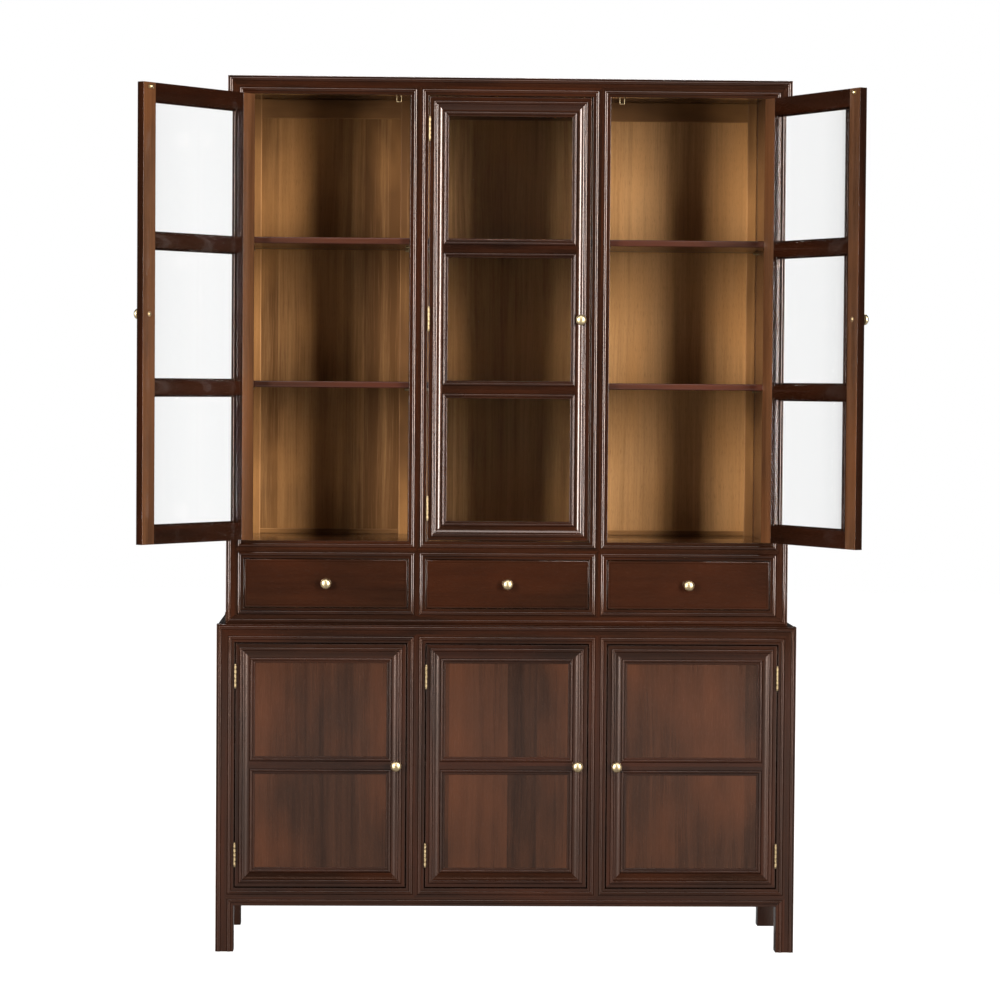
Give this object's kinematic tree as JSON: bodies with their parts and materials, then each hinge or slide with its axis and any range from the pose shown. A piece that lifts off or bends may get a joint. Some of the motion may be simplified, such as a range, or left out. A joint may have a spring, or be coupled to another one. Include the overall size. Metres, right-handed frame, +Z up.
{
  "type": "china cabinet with glass doors",
  "caption": "Tall dark wood china cabinet: a low panelled cupboard on square legs under a hutch with a row of drawers, glazed hinged doors and shelved display bays.",
  "frame": {"origin": "on the floor, under the middle of the box around the cabinet as it stands with the two outer display doors open", "axes": "+Z up; the cabinet faces -Y; +X is to the right of a person who faces it"},
  "size_m": [1.7346, 0.7938, 2.14],
  "materials": {
    "frame_wood": "dark red-brown mahogany colour, rubbed lacquer with a soft gloss",
    "panel_wood": "dark brown staves with varied tone, rubbed lacquer",
    "back_veneer": "tan straight-grained veneer, satin",
    "shelf_wood": "dark brown, satin lacquer",
    "drawer_wood": "pale unstained hardwood, matt",
    "glass": "clear window glass",
    "brass": "lightly aged polished brass"
  },
  "bodies": {
    "case": {"base_back": "panel_wood", "base_bottom_rail": "frame_wood", "base_deck": "frame_wood", "base_floor": "panel_wood", "base_leg_post_front_left": "frame_wood", "base_leg_post_front_right": "frame_wood", "base_leg_post_rear_left": "frame_wood", "base_leg_post_rear_right": "frame_wood", "base_mid_post_left": "frame_wood", "base_mid_post_right": "frame_wood", "base_shelf": "shelf_wood", "base_side_left": "panel_wood", "base_side_right": "panel_wood", "base_top_rail": "frame_wood", "display_floor": "frame_wood", "display_partition_left": "frame_wood", "display_partition_right": "frame_wood", "drawer_deck": "frame_wood", "drawer_divider_left": "frame_wood", "drawer_divider_right": "frame_wood", "hutch_back": "back_veneer", "hutch_post_left": "frame_wood", "hutch_post_right": "frame_wood", "hutch_side_left": "panel_wood", "hutch_side_right": "panel_wood", "hutch_top_board": "frame_wood", "hutch_top_rail": "frame_wood", "shelf_left_lower": "shelf_wood", "shelf_left_upper": "shelf_wood", "shelf_middle_lower": "shelf_wood", "shelf_middle_upper": "shelf_wood", "shelf_right_lower": "shelf_wood", "shelf_right_upper": "shelf_wood"},
    "hutch_door_left": {"hutch_door_left_frame": "frame_wood", "hutch_door_left_glass": "glass", "hutch_door_left_knob": "brass"},
    "hutch_door_middle": {"hutch_door_middle_frame": "frame_wood", "hutch_door_middle_glass": "glass", "hutch_door_middle_knob": "brass"},
    "hutch_door_right": {"hutch_door_right_frame": "frame_wood", "hutch_door_right_glass": "glass", "hutch_door_right_knob": "brass"},
    "base_door_left": {"base_door_left_frame": "frame_wood", "base_door_left_knob": "brass", "base_door_left_panel": "panel_wood"},
    "base_door_middle": {"base_door_middle_frame": "frame_wood", "base_door_middle_knob": "brass", "base_door_middle_panel": "panel_wood"},
    "base_door_right": {"base_door_right_frame": "frame_wood", "base_door_right_knob": "brass", "base_door_right_panel": "panel_wood"},
    "drawer_left": {"drawer_left_box": "drawer_wood", "drawer_left_front": "frame_wood", "drawer_left_knob": "brass"},
    "drawer_middle": {"drawer_middle_box": "drawer_wood", "drawer_middle_front": "frame_wood", "drawer_middle_knob": "brass"},
    "drawer_right": {"drawer_right_box": "drawer_wood", "drawer_right_front": "frame_wood", "drawer_right_knob": "brass"}
  },
  "joints": [
    {"name": "hutch_door_left_hinge", "type": "hinge", "parent": "case", "child": "hutch_door_left", "pos_m": [-0.6125, -0.0338, 1.552], "axis": [0, 0, -1], "range_deg": [-128.6, 41.4]},
    {"name": "hutch_door_middle_hinge", "type": "hinge", "parent": "case", "child": "hutch_door_middle", "pos_m": [-0.16783, -0.0338, 1.552], "axis": [0, 0, -1], "range_deg": [0, 140]},
    {"name": "hutch_door_right_hinge", "type": "hinge", "parent": "case", "child": "hutch_door_right", "pos_m": [0.6725, -0.0338, 1.552], "axis": [0, 0, 1], "range_deg": [-117.6, 52.4]},
    {"name": "base_door_left_hinge", "type": "hinge", "parent": "case", "child": "base_door_left", "pos_m": [-0.6335, -0.0518, 0.458], "axis": [0, 0, -1], "range_deg": [0, 170]},
    {"name": "base_door_middle_hinge", "type": "hinge", "parent": "case", "child": "base_door_middle", "pos_m": [-0.16783, -0.0518, 0.458], "axis": [0, 0, -1], "range_deg": [0, 140]},
    {"name": "base_door_right_hinge", "type": "hinge", "parent": "case", "child": "base_door_right", "pos_m": [0.6935, -0.0518, 0.458], "axis": [0, 0, 1], "range_deg": [0, 170]},
    {"name": "drawer_left_slide", "type": "slide", "parent": "case", "child": "drawer_left", "axis": [0, -1, 0], "range_m": [0, 0.28]},
    {"name": "drawer_middle_slide", "type": "slide", "parent": "case", "child": "drawer_middle", "axis": [0, -1, 0], "range_m": [0, 0.28]},
    {"name": "drawer_right_slide", "type": "slide", "parent": "case", "child": "drawer_right", "axis": [0, -1, 0], "range_m": [0, 0.28]}
  ]
}
